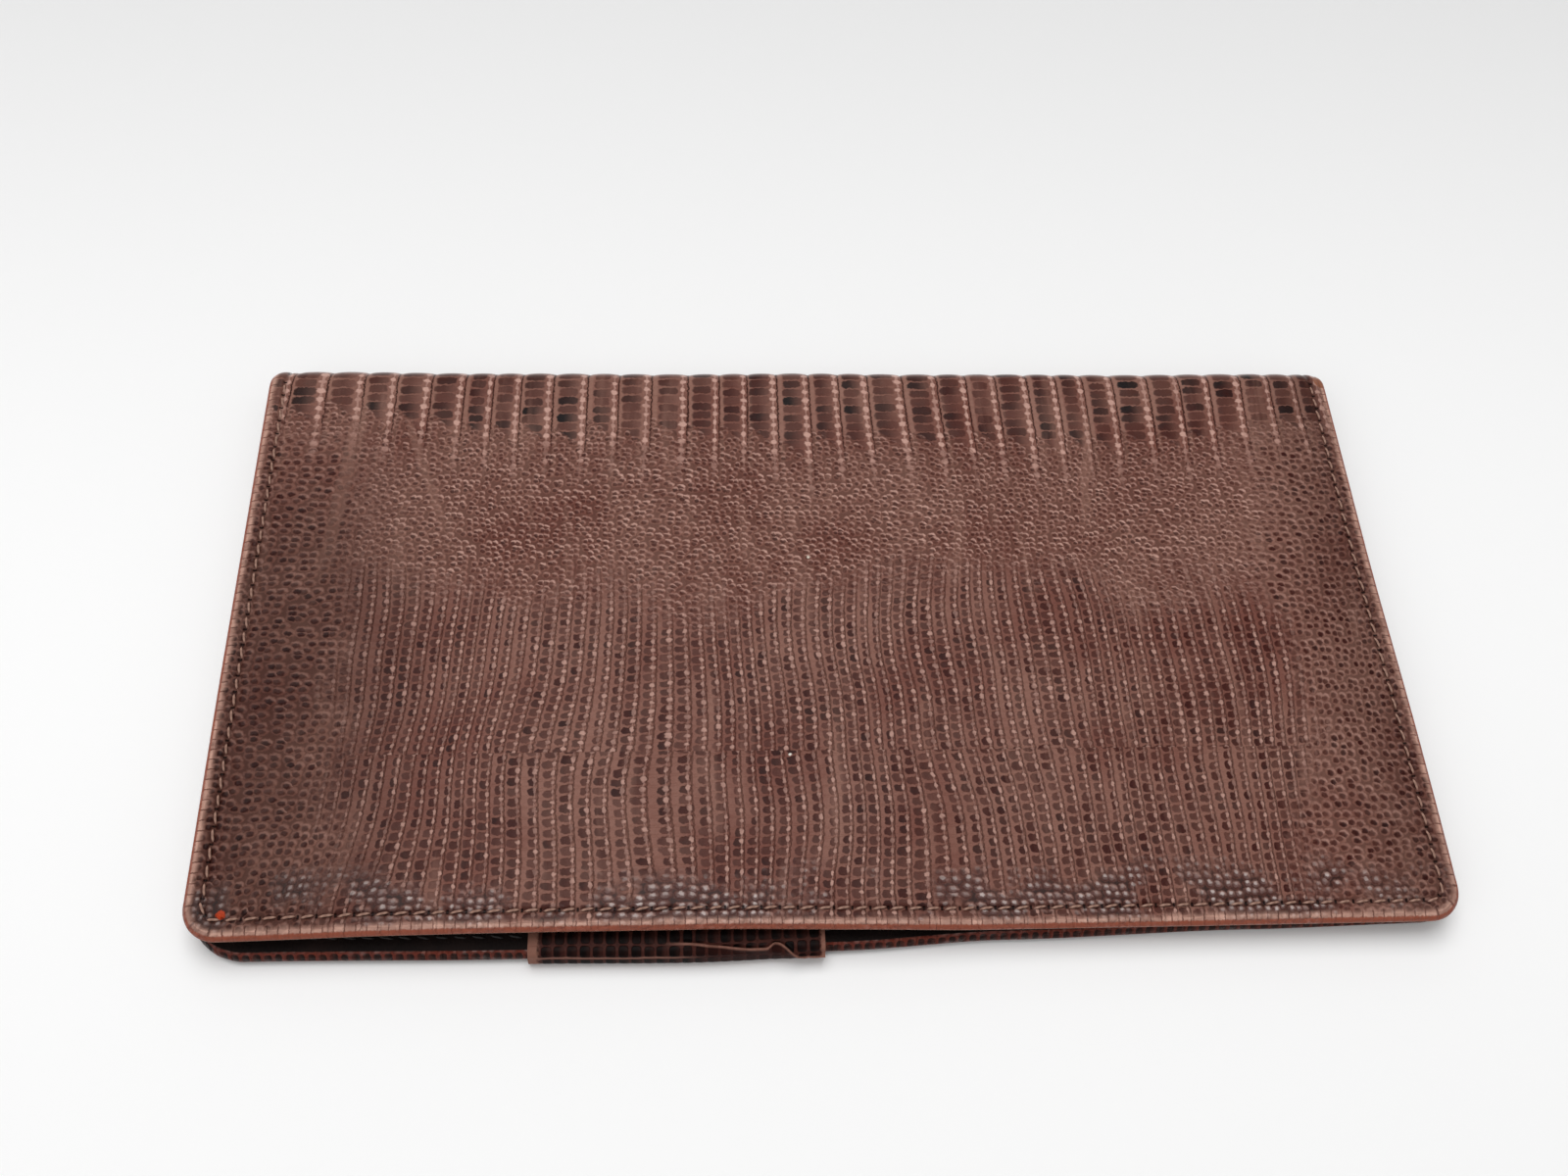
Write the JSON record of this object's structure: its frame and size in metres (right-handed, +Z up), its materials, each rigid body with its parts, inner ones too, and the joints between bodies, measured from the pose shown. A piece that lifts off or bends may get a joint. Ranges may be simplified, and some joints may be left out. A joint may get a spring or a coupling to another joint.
{
  "type": "passport holder",
  "caption": "Flat lizard-skin folder with two stiffened covers on a soft spine, slip pockets inside and a closing tab on its front edge.",
  "frame": {"origin": "under the middle of the closed holder, on the surface that it lies on", "axes": "+X along the spine with the tab left of the middle, +Y from the front edge to the spine, +Z up through the closed covers"},
  "size_m": [0.18, 0.0984, 0.0067],
  "materials": {
    "hide": "polished lizard skin, red-brown, with dark scales and paler ridges",
    "hide_edge": "lizard skin rubbed paler along the turned edge",
    "tab_hide": "lizard belly skin, dark squares with pale outlines",
    "thread": "waxed thread, pale pinkish tan",
    "lining": "black glazed lining cloth",
    "pocket": "thin black-brown calf, fine grain",
    "binding": "narrow turned calf strip, creased along its edge",
    "board": "stiffening board, inside and out of sight",
    "interfacing": "woven interfacing, inside and out of sight"
  },
  "bodies": {
    "back_cover": {"back_skin": "hide", "back_board": "board", "back_lining": "lining", "back_hem": "hide_edge", "back_pocket": "pocket", "back_pocket_binding": "binding", "back_seam": "thread", "tab_root": "tab_hide"},
    "spine": {"spine_skin": "hide", "spine_interfacing": "interfacing", "spine_lining": "lining", "spine_hem": "hide_edge"},
    "front_cover": {"front_skin": "hide", "front_board": "board", "front_lining": "lining", "front_hem": "hide_edge", "front_pocket": "pocket", "front_pocket_binding": "binding", "ticket_pocket": "pocket", "ticket_binding": "binding", "front_seam": "thread"},
    "tab": {"tab_face": "tab_hide", "tab_lining": "lining"}
  },
  "joints": [
    {"name": "spine_fold", "type": "hinge", "parent": "back_cover", "child": "spine", "pos_m": [0, 0.04853, 0.00072], "axis": [-1, 0, 0], "range_deg": [0, 90]},
    {"name": "cover_fold", "type": "hinge", "parent": "spine", "child": "front_cover", "pos_m": [0, 0.04853, 0.00598], "axis": [-1, 0, 0], "range_deg": [0, 90]},
    {"name": "tab_fold", "type": "hinge", "parent": "back_cover", "child": "tab", "pos_m": [0, -0.04885, 0.00315], "axis": [1, 0, 0], "range_deg": [0, 180]}
  ],
  "couplings": [
    {"joint": "cover_fold", "follows": "spine_fold", "ratio": 1},
    {"joint": "tab_fold", "follows": "spine_fold", "ratio": 2}
  ]
}
